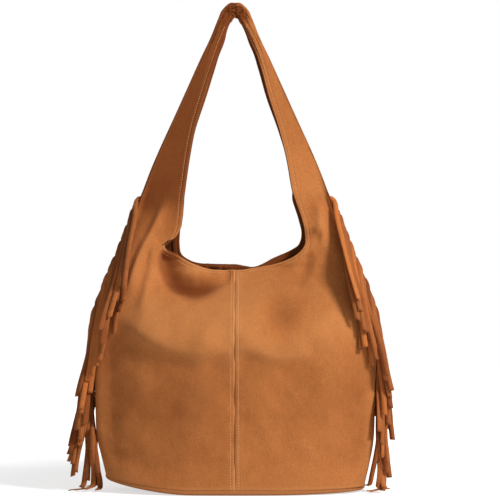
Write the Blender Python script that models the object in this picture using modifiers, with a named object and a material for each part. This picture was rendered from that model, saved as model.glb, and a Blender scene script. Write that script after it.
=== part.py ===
"""Fringed suede hobo bag: four cut panels that run up into the strap, an oval base, two fringe bands
caught in the side seams, and a magnetic snap on two tabs that draws the mouth together.

The bag stands on its base with the strap held up. +Z is up, -Y is the front, and the origin is the
middle of the base. Sizes are in millimetres, and meshes are made in metres.
"""

import math

import bmesh
import bpy
import numpy as np
from mathutils import Vector

MM = 0.001

# Leather
SUEDE = 1.6  # panel thickness
HEM_WIDTH = 9.0  # turned edge along the centre seam, the rim and the strap's inner edge
SEAM_GAP = 0.3  # air between pieces that touch
SEAM_EASE = 0.25  # room for the wall's own slant where two panels meet
SEAM_TURN = 0.98  # share of a panel's width at which its wall has turned square to the side seam

# Base
BASE_LENGTH = 344.0
BASE_DEPTH = 124.0
BASE_RISE = 5.2  # turned-up edge of the base panel
BASE_EDGE_RADIUS = 3.0

# Body
BODY_WIDTH = 381.0  # side seam to side seam at the belly
BODY_DEPTH = 152.0  # front to back at the belly
BELLY_HEIGHT = 190.0
RIM_HEIGHT = 297.0  # lowest point of the front rim
BACK_RIM_RISE = 7.0  # the back rim stands this much higher at the middle
MOUTH_WIDTH = 190.0  # between the two corners of the mouth
SHOULDER_HEIGHT = 402.0  # where the side seam becomes the strap's outer edge
SHOULDER_WIDTH = 252.0

# Strap
TOTAL_HEIGHT = 658.0
STRAP_WIDTH = 25.0  # one arm, as it hangs, half way up
STRAP_FULLNESS = 6.0  # depth of the front layer from the outer seam

# Fringe
FRINGE_LENGTH = 146.0
FRINGE_STRIPS = 31
STRIP_WIDTH = 7.3
FRINGE_THICKNESS = 1.2
FRINGE_TOP = 392.0
FRINGE_BOTTOM = 134.0
HEADER_DEPTH = 6.0  # part of the band inside the seam
ROOT_REACH = 0.6  # part of the band that stands out of the seam before it is cut
ROOT_BEND = 5.5  # how far a strip runs before it has turned down
FRINGE_SPREAD = 0.24  # drift of the strips away from the seam, per unit of drop
STRIP_TWIST = 80.0  # degrees a strip turns about its own length, flat towards the front or back
LANE_OUT = 40.0  # degrees from straight out to the outermost strips and to those nearest the body
LANE_IN = 98.0
LANE_TURN = 0.381966  # golden share of that range from one strip to the next
FLOOR_CLEARANCE = 1.5
STRIP_STEPS = 8  # lengths of each strip, short at its root and longer downwards

# Magnetic snap and its tabs
TAB_WIDTH = 22.0
TAB_LENGTH = 34.0
TAB_THICKNESS = 1.4
TAB_BELOW_RIM = 3.0
SNAP_DIAMETER = 18.0
SNAP_HALF_THICKNESS = 2.2
STUD_DIAMETER = 5.6
STUD_LENGTH = 1.6
SNAP_BELOW_RIM = 24.0

# Section of the body: exponent of the superellipse at the base and of the flat strap
BODY_ROUND = 2.6
STRAP_ROUND = 3.6

# Faces of a panel, along it and across it
FRONT_GRID = (34, 12)
BACK_GRID = (25, 9)
BASE_SIDES = 44

LEFT, RIGHT = -1, 1
FRONT, BACK = -1, 1

FIRST_LANE = {LEFT: 0.10, RIGHT: 0.50}  # share of the range where the top strip of each band lies

SUEDE_TAN = (0.47, 0.18, 0.055)
SUEDE_DARK = (0.36, 0.13, 0.04)
NICKEL = (0.62, 0.60, 0.56)


def clear_scene():
    for item in list(bpy.data.objects):
        bpy.data.objects.remove(item, do_unlink=True)


def new_material(name, colour, roughness, metallic=0.0):
    material = bpy.data.materials.new(name)
    material.use_nodes = True
    shader = material.node_tree.nodes["Principled BSDF"]
    shader.inputs["Base Color"].default_value = (*colour, 1.0)
    shader.inputs["Roughness"].default_value = roughness
    shader.inputs["Metallic"].default_value = metallic
    return material


def add_object(name, bm, collection, material):
    mesh = bpy.data.meshes.new(name)
    bmesh.ops.scale(bm, vec=(MM, MM, MM), verts=bm.verts)
    bm.to_mesh(mesh)
    bm.free()
    mesh.shade_smooth()
    item = bpy.data.objects.new(name, mesh)
    collection.objects.link(item)
    item.data.materials.append(material)
    return item


# Curves

def smooth(t):
    t = min(max(t, 0.0), 1.0)
    return t * t * (3.0 - 2.0 * t)


def bell(distance, width):
    return math.exp(-((distance / width) ** 2))


def curve_through(knots, rows):
    """A smooth curve through the rows, one row of values at each knot."""
    knots = np.array(knots, float)
    rows = np.array(rows, float)
    slopes = np.gradient(rows, knots, axis=0)

    def at(t):
        i = int(min(max(np.searchsorted(knots, t) - 1, 0), len(knots) - 2))
        span = knots[i + 1] - knots[i]
        s = (t - knots[i]) / span
        blend = (2 * s**3 - 3 * s**2 + 1, s**3 - 2 * s**2 + s, 3 * s**2 - 2 * s**3, s**3 - s**2)
        return (
            blend[0] * rows[i]
            + blend[1] * span * slopes[i]
            + blend[2] * rows[i + 1]
            + blend[3] * span * slopes[i + 1]
        )

    return at


# Levels up the bag: 0 at the base seam, 1 at the rim, 2 at the shoulder, 3 at the top of the strap

def height(level):
    floors = (BASE_RISE + SEAM_GAP, RIM_HEIGHT, SHOULDER_HEIGHT, TOTAL_HEIGHT)
    i = int(min(max(math.floor(level), 0), 2))
    return floors[i] + (level - i) * (floors[i + 1] - floors[i])


def level_of(z):
    floors = (BASE_RISE + SEAM_GAP, RIM_HEIGHT, SHOULDER_HEIGHT, TOTAL_HEIGHT)
    i = sum(z > f for f in floors[1:3])
    return i + (z - floors[i]) / (floors[i + 1] - floors[i])


def side_outline():
    """Half width at each level: the side seam, then the strap's outer edge."""
    base, belly, shoulder = BASE_LENGTH / 2, BODY_WIDTH / 2, SHOULDER_WIDTH / 2
    belly_level = level_of(BELLY_HEIGHT)
    spread, waist = belly - base, belly - shoulder
    shape = (
        (0.0, base),
        (0.14 * belly_level, base + 0.38 * spread),
        (0.28 * belly_level, base + 0.70 * spread),
        (0.62 * belly_level, base + 0.90 * spread),
        (belly_level, belly),
        (0.72, belly - 0.01 * waist),
        (0.80, belly - 0.07 * waist),
        (0.86, belly - 0.155 * waist),
        (0.95, belly - 0.295 * waist),
        (1.05, belly - 0.42 * waist),
        (1.25, belly - 0.55 * waist),
        (1.45, belly - 0.68 * waist),
        (1.70, belly - 0.83 * waist),
        (2.0, shoulder),
        (2.12, 0.905 * shoulder),
        (2.275, 0.77 * shoulder),
        (2.46, 0.595 * shoulder),
        (2.656, 0.42 * shoulder),
        (2.82, 0.262 * shoulder),
        (2.90, 0.195 * shoulder),
        (2.954, 0.150 * shoulder),
        (2.984, 0.105 * shoulder),
        (3.0, 0.055 * shoulder),
    )
    return curve_through([height(s[0]) for s in shape], [[s[1]] for s in shape])


def half_width(level):
    return float(SIDE(height(level))[0])


# Rows of a panel, from the base seam to the seam at the top of the strap. Each body row is
# (inner share of half the mouth, inner level, outer level) and each strap row is (outer level,
# share of the strap's width). Rows run down and outwards from the rim, square to its edge.

def body_rows(side, face):
    rim = 0.0 if face == FRONT else BACK_RIM_RISE / (SHOULDER_HEIGHT - RIM_HEIGHT)
    rows = [
        (0.0, 0.0, 0.0),
        (0.0, 0.24, 0.12),
        (0.0, 0.45, 0.24),
        (0.0, 0.63, 0.35),
        (0.0, 0.78, 0.45),
        (0.0, 0.90, 0.53),
        (0.0, 1.0 + rim, 0.61),
    ]
    if face == FRONT and side == LEFT:
        return rows + [
            (0.32, 1.015, 0.69),
            (0.61, 1.09, 0.77),
            (0.84, 1.205, 0.85),
            (1.0, 1.32, 0.94),
            (0.90, 1.43, 1.14),
            (0.77, 1.59, 1.42),
            (0.735, 1.89, 1.80),
        ]
    if face == FRONT:
        return rows + [
            (0.30, 1.03, 0.69),
            (0.60, 1.08, 0.77),
            (0.85, 1.18, 0.85),
            (0.985, 1.31, 0.95),
            (0.995, 1.45, 1.16),
            (0.965, 1.62, 1.44),
            (0.86, 1.90, 1.82),
        ]
    if side == LEFT:
        return rows + [
            (0.32, 1.075, 0.69),
            (0.58, 1.10, 0.77),
            (0.76, 1.19, 0.85),
            (0.805, 1.32, 0.96),
            (0.80, 1.45, 1.18),
            (0.765, 1.62, 1.45),
            (0.72, 1.89, 1.80),
        ]
    return rows + [
        (0.28, 1.04, 0.69),
        (0.56, 1.16, 0.77),
        (0.80, 1.26, 0.87),
        (0.93, 1.36, 1.0),
        (0.955, 1.47, 1.2),
        (0.92, 1.64, 1.46),
        (0.83, 1.91, 1.82),
    ]


def strap_rows(side, face):
    inner = 1.0 if face == FRONT else 1.12
    widths = (1.96, 1.56, 1.18, 0.94, 0.76, 0.60) if side == LEFT else (1.72, 1.32, 1.0, 0.84, 0.60, 0.50)
    levels = (2.08, 2.23, 2.38, 2.54, 2.70, 2.83)
    rows = [(level, width * inner) for level, width in zip(levels, widths)]
    return rows + [(2.92, 0.66), (2.965, 0.69)]


def panel_rows(side, face):
    """The panel's rows as (inner x, inner z, outer x, outer z)."""
    rows = []
    middle = SEAM_GAP / 2 + SEAM_EASE
    for in_share, in_level, out_level in body_rows(side, face):
        in_x = max(in_share * MOUTH_WIDTH / 2, middle)
        rows.append((in_x, height(in_level), half_width(out_level), height(out_level)))
    for level, share in strap_rows(side, face):
        x, z = half_width(level), height(level)
        below = level - 0.02
        along_x, along_z = x - half_width(below), z - height(below)
        length = math.hypot(along_x, along_z)
        width = share * STRAP_WIDTH
        rows.append((x - width * along_z / length, z + width * along_x / length, x, z))
    for x in (half_width(3.0), middle):
        rows.append((x, TOTAL_HEIGHT - 0.70 * STRAP_WIDTH, x, TOTAL_HEIGHT))
    return rows


def panel_outline(side, face):
    """Inner and outer edge of the panel as one smooth function of the length along it."""
    rows = panel_rows(side, face)
    knots = [0.0]
    for a, b in zip(rows, rows[1:]):
        inner = math.hypot(b[0] - a[0], b[1] - a[1])
        outer = math.hypot(b[2] - a[2], b[3] - a[3])
        knots.append(knots[-1] + 0.5 * (inner + outer))
    return curve_through(knots, rows), knots


# Depth of the front or back from the side seams' plane

def rim_depth():
    """Outer face of the rim at the middle: half of the closed snap, a tab and the doubled edge."""
    stack = SNAP_HALF_THICKNESS + SEAM_GAP + TAB_THICKNESS + SEAM_GAP + 2 * SUEDE
    return stack - seam_half_gap(RIM_HEIGHT)


def body_depths():
    """Depth at the middle and at the sides, at each level."""
    base, belly, rim = BASE_DEPTH / 2, BODY_DEPTH / 2, rim_depth()
    shape = (
        (0.0, base, base),
        (0.19, base + 0.60 * (belly - base), base + 0.62 * (belly - base)),
        (0.40, base + 0.84 * (belly - base), base + 0.88 * (belly - base)),
        (0.58, base + 0.95 * (belly - base), belly),
        (0.71, base + 0.80 * (belly - base), belly),
        (0.84, rim + 0.62 * (belly - rim), 0.95 * belly),
        (0.955, rim + 0.09 * (belly - rim), 0.87 * belly),
        (1.0, rim, 0.82 * belly),
        (1.1, rim, 0.74 * belly),
        (1.21, rim, 0.65 * belly),
        (1.32, rim, 0.55 * belly),
        (1.5, rim, 0.36 * belly),
        (1.7, rim, 0.22 * belly),
        (2.0, rim, 0.14 * belly),
    )
    return curve_through([s[0] for s in shape], [s[1:] for s in shape])


def depth_at(x, z, share):
    """Depth of the outer surface at a place on the front or back and a share of the panel's width."""
    level = level_of(z)
    middle, sides = BODY_DEPTHS(min(level, 2.0))
    across = min(x / half_width(level), 1.0) * SEAM_TURN
    body = (middle + (sides - middle) * across**2) * (1.0 - across**BODY_ROUND) ** (1.0 / BODY_ROUND)
    edge = 2 * SUEDE + SEAM_EASE
    fullness = edge + (STRAP_FULLNESS - edge) * smooth(share / 0.4)
    strap = fullness * (1.0 - min(share, SEAM_TURN) ** STRAP_ROUND) ** (1.0 / STRAP_ROUND)
    depth = body + (strap - body) * smooth((level - 1.55) / 0.6)
    return depth * min((1.0 - share) / (1.0 - SEAM_TURN), 1.0)


# Folds of the front, as depth added to the surface. Places are shares of half the body's width and
# of the rim's height, so they follow the body.

def front_folds(x, z):
    half, rim = BODY_WIDTH / 2, RIM_HEIGHT
    u, v = x / half, z / rim
    depth = pouch_fold(u, v, half, rim)
    depth += belly_fold(u, v, rim)
    depth += 3.0 * ridge(u, v, (-0.48, 1.32), (-0.72, 0.98), 0.03)
    depth += 2.5 * ridge(u, v, (0.52, 1.08), (0.44, 0.91), 0.03)
    depth -= 5.0 * bell(math.hypot(u - 0.56, 0.9 * (v - 1.16)), 0.08)
    depth -= 5.0 * bell(math.hypot(u - 0.34, 0.8 * (v - 0.79)), 0.16)
    return depth


def pouch_fold(u, v, half, rim):
    """Below the left of the rim the leather pouches out over a deep crescent crease."""
    across, up = u + 0.29, (v - 1.035) * rim / half
    distance = math.hypot(across, up)
    below = smooth((0.10 - up) / 0.16) * smooth(-u / 0.16)
    crease = -13.0 * bell(distance - 0.215, 0.045)
    pouch = 6.0 * bell(distance, 0.13)
    lip = 3.0 * bell(distance - 0.30, 0.05)
    return (crease + pouch + lip) * below


def belly_fold(u, v, rim):
    """The upper body slumps over the lower one, and the leather tucks in below that edge."""
    edge = 0.675 + 0.62 * max(abs(u + 0.10) - 0.10, 0.0) ** 2 / 0.6
    if u > -0.05:
        edge = 0.675 - 0.16 * (u + 0.05)
    strength = smooth((u + 0.84) / 0.30) * (1.0 - 0.75 * smooth((u - 0.05) / 0.45))
    drop = (edge - v) * rim
    tuck = smooth((drop + 8.0) / 20.0) * math.exp(-max(drop, 0.0) / 45.0)
    swell = bell(drop + 14.0, 22.0)
    return strength * (4.0 * swell - 11.0 * tuck)


def ridge(u, v, start, end, width):
    """A fold of unit height along the line from start to end, fading out at both ends."""
    du, dv = end[0] - start[0], end[1] - start[1]
    length = math.hypot(du, dv)
    along = ((u - start[0]) * du + (v - start[1]) * dv) / length**2
    across = ((u - start[0]) * dv - (v - start[1]) * du) / length
    return bell(across, width) * smooth(along / 0.25 + 0.5) * smooth((1.0 - along) / 0.25 + 0.5)


def back_folds(x, z):
    """The back hangs plainly, with one soft slump."""
    v = z / RIM_HEIGHT
    return 3.0 * bell(v - 0.72, 0.16) - 4.0 * bell(v - 0.52, 0.12)


def column_share(column):
    """Columns lie closer together towards the side seam, and the last one closes the wall on it."""
    return 1.0 if column > 1.0 else SEAM_TURN * (1.0 - (1.0 - column) ** 1.8)


def panel_point(outline, side, face, along, share):
    """Outer surface at a length along the panel and a share of its width, 0 at the inner edge."""
    in_x, in_z, out_x, out_z = outline(along)
    if out_z < SHOULDER_HEIGHT:
        out_x = half_width(level_of(out_z))
    place = min(share / SEAM_TURN, 1.0)
    x = max(in_x + (out_x - in_x) * place, SEAM_GAP / 2 + SEAM_EASE)
    z = in_z + (out_z - in_z) * place
    folds = front_folds if face == FRONT else back_folds
    free = smooth((z - BASE_RISE) / 40.0) * (1.0 - smooth((level_of(z) - 1.7) / 0.3))
    free *= smooth((1.0 - share) / 0.15)
    depth = depth_at(x, z, share) + folds(side * x, z) * free
    return side * x, face * (seam_half_gap(z) + depth), z


def seam_half_gap(z):
    """Half the room between front and back at the side seam, wider where the fringe band lies in it."""
    plain = SEAM_GAP / 2 + SEAM_EASE
    banded = FRINGE_THICKNESS / 2 + SEAM_GAP + SEAM_EASE
    margin = 1.2 * STRIP_WIDTH
    band = smooth((z - FRINGE_BOTTOM + 2 * margin) / margin) * smooth((FRINGE_TOP + 2 * margin - z) / margin)
    return plain + (banded - plain) * band


def panel(name, side, face, grid, collection, material):
    """One cut panel: a grid mapped onto the surface, made solid with a doubled inner edge."""
    outline, knots = panel_outline(side, face)
    rows, columns = grid
    bm = bmesh.new()
    bmesh.ops.create_grid(bm, x_segments=columns, y_segments=rows, size=1.0)
    hem = bm.verts.layers.deform.verify()
    for vert in bm.verts:
        column = round((vert.co.x + 1.0) / 2.0 * columns)
        row = round((vert.co.y + 1.0) / 2.0 * rows)
        along = knots[-2] * row / (rows - 1) if row < rows else knots[-1]
        in_x, in_z, out_x, out_z = outline(along)
        width = math.hypot(out_x - in_x, out_z - in_z)
        hem_share = min(HEM_WIDTH / width, 0.4)
        step_share = hem_share + 1.2 * SUEDE / width
        if column <= 1:
            share = hem_share * column
        else:
            spread = column_share((column - 2) / (columns - 3))
            share = step_share * (1.0 - spread) + spread if spread < 1.0 else 1.0
        vert[hem][0] = 1.0 if column <= 1 else 0.5
        vert.co = panel_point(outline, side, face, along, share)
    if side * face > 0:
        bmesh.ops.reverse_faces(bm, faces=bm.faces)
    item = add_object(name, bm, collection, material)
    item.vertex_groups.new(name="hem")
    solidify = item.modifiers.new("thickness", "SOLIDIFY")
    solidify.thickness = 2 * SUEDE * MM
    solidify.offset = -1.0
    solidify.vertex_group = "hem"
    return item


def base_outline(angle, inset):
    """A point of the base's outline, a superellipse, moved inwards by the inset."""
    power = 2.0 / BODY_ROUND
    cos, sin = math.cos(angle), math.sin(angle)
    x = (BASE_LENGTH / 2 - inset) * math.copysign(abs(cos) ** power, cos)
    y = (BASE_DEPTH / 2 + SEAM_GAP / 2 + SEAM_EASE - inset) * math.copysign(abs(sin) ** power, sin)
    return x, y


def base_panel(collection, material):
    """The base: a flat oval whose edge turns up to meet the panels."""
    radius = BASE_EDGE_RADIUS
    bend = radius * (1.0 - math.cos(math.radians(45)))
    profile = ((radius, 0.0), (bend, bend), (0.0, radius), (0.0, BASE_RISE))
    bm = bmesh.new()
    rings = []
    for inset, z in profile:
        ring = []
        for i in range(BASE_SIDES):
            x, y = base_outline(math.tau * (i + 0.5) / BASE_SIDES, inset)
            ring.append(bm.verts.new((x, y, z)))
        rings.append(ring)
    bm.faces.new(reversed(rings[0]))
    for lower, upper in zip(rings, rings[1:]):
        for i in range(BASE_SIDES):
            j = (i + 1) % BASE_SIDES
            bm.faces.new((lower[i], lower[j], upper[j], upper[i]))
    item = add_object("base_panel", bm, collection, material)
    solidify = item.modifiers.new("thickness", "SOLIDIFY")
    solidify.thickness = SUEDE * MM
    solidify.offset = -1.0
    return item


def strip_path(side, face, lane, root_z, length):
    """Centre line of one strip and its width direction: out of the seam, over and down."""
    outward = Vector((side, 0.0, 0.0))
    place = Vector((side * (half_width(level_of(root_z)) + ROOT_REACH), 0.0, root_z))
    points, widths = [], []
    fine = 2
    count = fine * STRIP_STEPS**2
    step = length / count
    kept = {fine * k**2 for k in range(STRIP_STEPS + 1)}
    for i in range(count + 1):
        s = i * step
        turn = math.radians(90.0) * (1.0 - math.exp(-max(s - 0.3 * ROOT_BEND, 0.0) / ROOT_BEND))
        swing = lane * (1.0 - math.exp(-max(s - 0.6 * ROOT_BEND, 0.0) / (0.5 * ROOT_BEND)))
        lane_out = outward * math.cos(swing) + Vector((0.0, face * math.sin(swing), 0.0))
        lateral = outward * math.sin(swing) - Vector((0.0, face * math.cos(swing), 0.0))
        radial = Vector((0.0, 0.0, 1.0)) * math.cos(turn) + lane_out * math.sin(turn)
        angle = math.radians(STRIP_TWIST) * smooth(s / (3.5 * ROOT_BEND))
        if i in kept:
            points.append(place.copy())
            widths.append(radial * math.cos(angle) + lateral * math.sin(angle))
        z = max(place.z, height(0.0))
        slope = max(-(half_width(level_of(z + 2.0)) - half_width(level_of(z - 2.0))) / 4.0, 0.0)
        heading = lane_out * math.cos(turn) - Vector((0.0, 0.0, 1.0)) * math.sin(turn)
        spread = FRINGE_SPREAD * (1.0 + 1.8 * math.exp(-(root_z - place.z) / (3.0 * ROOT_BEND)))
        heading += (outward * slope + lane_out * spread) * math.sin(turn)
        if place.z < floor_bend():
            heading.z *= max((place.z - FLOOR_CLEARANCE) / floor_bend(), 0.02)
        place = place + heading.normalized() * step
    return points, widths


def floor_bend():
    """Height at which a strip that is longer than the room below it starts to lie down."""
    return 2.5 * STRIP_WIDTH


def fringe(name, side, collection, material):
    """One band cut into strips: the header lies in the side seam, the strips hang from it."""
    pitch = (FRINGE_TOP - FRINGE_BOTTOM) / (FRINGE_STRIPS - 1)
    tongue = min(STRIP_WIDTH, 0.86 * pitch)
    bm = bmesh.new()
    last = None
    for i in range(FRINGE_STRIPS):
        root_z = FRINGE_TOP - i * pitch
        face = FRONT if i % 2 == 0 else BACK
        lane_share = (FIRST_LANE[side] + i * LANE_TURN) % 1.0
        lane = math.radians(LANE_OUT + (LANE_IN - LANE_OUT) * lane_share)
        length = FRINGE_LENGTH * (1.0 - 0.06 * ((i * 0.618034) % 1.0))
        points, widths = strip_path(side, face, lane, root_z, length)
        header = []
        for edge in (0.5, -0.5):
            z = root_z + edge * tongue
            seam_x = half_width(level_of(z))
            inside = bm.verts.new((side * (seam_x - HEADER_DEPTH), 0.0, z))
            outside = bm.verts.new((side * (seam_x + ROOT_REACH), 0.0, z))
            header.append((inside, outside))
        bm.faces.new((header[0][0], header[0][1], header[1][1], header[1][0]))
        if last:
            bm.faces.new((last[0], last[1], header[0][1], header[0][0]))
        last = header[1]
        upper, lower = header[0][1], header[1][1]
        for point, width in zip(points[1:], widths[1:]):
            next_upper = bm.verts.new(point + width * tongue / 2)
            next_lower = bm.verts.new(point - width * tongue / 2)
            bm.faces.new((upper, next_upper, next_lower, lower))
            upper, lower = next_upper, next_lower
    bmesh.ops.recalc_face_normals(bm, faces=bm.faces)
    item = add_object(name, bm, collection, material)
    solidify = item.modifiers.new("thickness", "SOLIDIFY")
    solidify.thickness = FRINGE_THICKNESS * MM
    solidify.offset = 0.0
    return item


def closure_tab(name, face, collection, material):
    """A tab with a round end that hangs inside the rim and carries one half of the snap."""
    outline = bpy.data.curves.new(name, "CURVE")
    outline.dimensions = "2D"
    outline.fill_mode = "BOTH"
    outline.extrude = TAB_THICKNESS / 2 * MM
    half = TAB_WIDTH / 2
    straight = TAB_LENGTH - half
    points = [(-half, 0.0), (half, 0.0)]
    arcs = 12
    for i in range(arcs + 1):
        angle = math.pi * i / arcs
        points.append((half * math.cos(angle), -straight - half * math.sin(angle)))
    spline = outline.splines.new("POLY")
    spline.points.add(len(points) - 1)
    for point, (x, y) in zip(spline.points, points):
        point.co = (x * MM, y * MM, 0.0, 1.0)
    spline.use_cyclic_u = True
    item = bpy.data.objects.new(name, outline)
    item.data.materials.append(material)
    item.rotation_euler = (math.radians(90.0), 0.0, 0.0)
    middle = SNAP_HALF_THICKNESS + SEAM_GAP + TAB_THICKNESS / 2
    item.location = (0.0, face * middle * MM, (RIM_HEIGHT - TAB_BELOW_RIM) * MM)
    collection.objects.link(item)
    return item


def disc(name, radius, depth, y, collection, material):
    bpy.ops.mesh.primitive_cylinder_add(vertices=24, radius=radius * MM, depth=depth * MM)
    item = bpy.context.object
    item.name = item.data.name = name
    for owner in list(item.users_collection):
        owner.objects.unlink(item)
    collection.objects.link(item)
    item.data.materials.clear()
    item.data.materials.append(material)
    item.rotation_euler = (math.radians(90.0), 0.0, 0.0)
    item.location = (0.0, y * MM, (RIM_HEIGHT - SNAP_BELOW_RIM) * MM)
    return item


def cut(item, cutter, operation):
    change = item.modifiers.new(operation.lower(), "BOOLEAN")
    change.object = cutter
    change.operation = operation
    cutter.hide_render = True
    cutter.display_type = "WIRE"


def snap(collection, cutters, material):
    """A stud disc on the back tab, and on the front tab a disc with the hole that takes the stud."""
    thickness = SNAP_HALF_THICKNESS - SEAM_GAP / 2
    middle = SEAM_GAP / 2 + thickness / 2
    socket = disc("snap_socket", SNAP_DIAMETER / 2, thickness, -middle, collection, material)
    hole_radius = STUD_DIAMETER / 2 + SEAM_GAP
    hole_depth = STUD_LENGTH + SEAM_GAP
    hole = disc("socket_hole", hole_radius, 2 * hole_depth, 0.0, cutters, material)
    cut(socket, hole, "DIFFERENCE")
    stud_disc = disc("snap_stud", SNAP_DIAMETER / 2, thickness, middle, collection, material)
    reach = STUD_LENGTH + middle
    nub = disc("stud_nub", STUD_DIAMETER / 2, reach, middle - reach / 2, cutters, material)
    cut(stud_disc, nub, "UNION")


SIDE = side_outline()
BODY_DEPTHS = body_depths()


def main():
    clear_scene()
    bag = bpy.data.collections.new("fringed_suede_bag")
    cutters = bpy.data.collections.new("cutters")
    bpy.context.scene.collection.children.link(bag)
    bpy.context.scene.collection.children.link(cutters)
    tan = new_material("suede", SUEDE_TAN, 0.9)
    fringe_tan = new_material("fringe_suede", SUEDE_DARK, 0.9)
    nickel = new_material("snap_nickel", NICKEL, 0.35, 1.0)
    for side, side_name in ((LEFT, "left"), (RIGHT, "right")):
        panel("front_panel_" + side_name, side, FRONT, FRONT_GRID, bag, tan)
        panel("back_panel_" + side_name, side, BACK, BACK_GRID, bag, tan)
        fringe("fringe_" + side_name, side, bag, fringe_tan)
    base_panel(bag, tan)
    closure_tab("closure_tab_front", FRONT, bag, fringe_tan)
    closure_tab("closure_tab_back", BACK, bag, fringe_tan)
    snap(bag, cutters, nickel)


main()
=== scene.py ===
"""Fringed suede hobo bag, dressed for its picture.

Four cut panels of napped suede run up into the strap, each with its inner edge turned under and
topstitched. The fringe is two bands cut into strips and caught in the side seams. Everything is
worked out in millimetres in the CAD's frame and made in metres.
"""

import math

import bpy
import numpy as np
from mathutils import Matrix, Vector


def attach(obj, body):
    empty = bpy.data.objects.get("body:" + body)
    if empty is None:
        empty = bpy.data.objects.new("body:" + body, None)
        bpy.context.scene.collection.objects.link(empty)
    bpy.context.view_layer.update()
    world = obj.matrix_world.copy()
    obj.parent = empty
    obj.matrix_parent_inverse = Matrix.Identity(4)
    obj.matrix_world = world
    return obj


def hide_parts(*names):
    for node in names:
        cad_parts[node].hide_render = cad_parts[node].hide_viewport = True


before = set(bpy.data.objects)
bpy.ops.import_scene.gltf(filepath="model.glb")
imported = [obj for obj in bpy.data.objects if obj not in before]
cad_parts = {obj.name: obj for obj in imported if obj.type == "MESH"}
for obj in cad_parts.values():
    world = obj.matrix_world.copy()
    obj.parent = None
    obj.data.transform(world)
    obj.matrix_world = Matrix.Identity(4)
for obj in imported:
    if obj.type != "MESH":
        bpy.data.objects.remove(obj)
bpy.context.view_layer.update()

MM = 0.001
LEFT, RIGHT = -1, 1
FRONT, BACK = -1, 1

# Leather
SUEDE = 1.5
HEM_WIDTH = 9.2
STITCH_INSET = 5.4  # from the turned edge to the row of stitches
SEAM_STITCH = (3.6, 2.5, 1.15)  # pitch, length and thickness of a stitch
EDGE_STITCH = (3.3, 2.2, 0.75)

# Body and strap, as in the solids but for a base 6 mm longer
BASE_LENGTH, BASE_DEPTH, BASE_SEAM = 350.0, 124.0, 5.5
BODY_WIDTH, BODY_DEPTH, BELLY_HEIGHT = 381.0, 152.0, 190.0
RIM_HEIGHT, BACK_RIM_RISE, MOUTH_WIDTH = 297.0, 7.0, 190.0
SHOULDER_HEIGHT, SHOULDER_WIDTH, TOTAL_HEIGHT = 402.0, 252.0, 658.0
STRAP_WIDTH, STRAP_FULLNESS, STRAP_LEAN = 25.0, 6.0, 12.0
RIM_DEPTH = 7.4
BODY_ROUND, STRAP_ROUND = 2.6, 3.6
LEFT_CORNER_LIFT, RIGHT_CORNER_LIFT = 18.0, 3.0
SEAM_TURN = 0.98

# Light
ROOM_LIGHT = 0.23  # of the white room, on the bag
FLOOR_GLOW = 0.64  # what the camera sees of the lit paper round the bag

# Fringe
STRIP_COUNT = 40
STRIP_LENGTH = 147.0
STRIP_WIDTH = 7.3
STRIP_THICKNESS = 1.25
FRINGE_TOP, FRINGE_BOTTOM = 394.0, 116.0


# Curves

def smooth(t):
    t = np.clip(t, 0.0, 1.0)
    return t * t * (3.0 - 2.0 * t)


def bell(distance, width):
    return np.exp(-((distance / width) ** 2))


def curve_through(knots, rows):
    """A smooth curve through the rows, one row of values at each knot."""
    knots = np.array(knots, float)
    rows = np.array(rows, float)
    slopes = np.gradient(rows, knots, axis=0)

    def at(t):
        i = int(min(max(np.searchsorted(knots, t) - 1, 0), len(knots) - 2))
        span = knots[i + 1] - knots[i]
        s = (t - knots[i]) / span
        blend = (2 * s**3 - 3 * s**2 + 1, s**3 - 2 * s**2 + s, 3 * s**2 - 2 * s**3, s**3 - s**2)
        return (
            blend[0] * rows[i]
            + blend[1] * span * slopes[i]
            + blend[2] * rows[i + 1]
            + blend[3] * span * slopes[i + 1]
        )

    return at


def tabled(curve, start, end, column=0, count=1200):
    """The curve's value as a function that takes whole arrays."""
    places = np.linspace(start, end, count)
    values = np.array([curve(t)[column] for t in places])
    return lambda t: np.interp(t, places, values)


# Levels up the bag: 0 at the base seam, 1 at the rim, 2 at the shoulder, 3 at the top of the strap

FLOORS = (BASE_SEAM, RIM_HEIGHT, SHOULDER_HEIGHT, TOTAL_HEIGHT)


def height(level):
    return float(np.interp(level, (0, 1, 2, 3), FLOORS))


def level_of(z):
    return np.interp(z, FLOORS, (0, 1, 2, 3))


def side_outline():
    base, belly, shoulder = BASE_LENGTH / 2, BODY_WIDTH / 2, SHOULDER_WIDTH / 2
    belly_level = float(level_of(BELLY_HEIGHT))
    spread, waist = belly - base, belly - shoulder
    shape = (
        (0.0, base),
        (0.14 * belly_level, base + 0.38 * spread),
        (0.28 * belly_level, base + 0.70 * spread),
        (0.62 * belly_level, base + 0.90 * spread),
        (belly_level, belly),
        (0.72, belly - 0.01 * waist),
        (0.80, belly - 0.07 * waist),
        (0.86, belly - 0.155 * waist),
        (0.95, belly - 0.295 * waist),
        (1.05, belly - 0.42 * waist),
        (1.25, belly - 0.55 * waist),
        (1.45, belly - 0.68 * waist),
        (1.70, belly - 0.83 * waist),
        (2.0, shoulder),
        (2.12, 0.905 * shoulder),
        (2.275, 0.77 * shoulder),
        (2.46, 0.595 * shoulder),
        (2.656, 0.42 * shoulder),
        (2.82, 0.262 * shoulder),
        (2.90, 0.195 * shoulder),
        (2.954, 0.150 * shoulder),
        (2.984, 0.105 * shoulder),
        (3.0, 0.055 * shoulder),
    )
    curve = curve_through([height(s[0]) for s in shape], [[s[1]] for s in shape])
    return tabled(curve, BASE_SEAM, TOTAL_HEIGHT)


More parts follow.
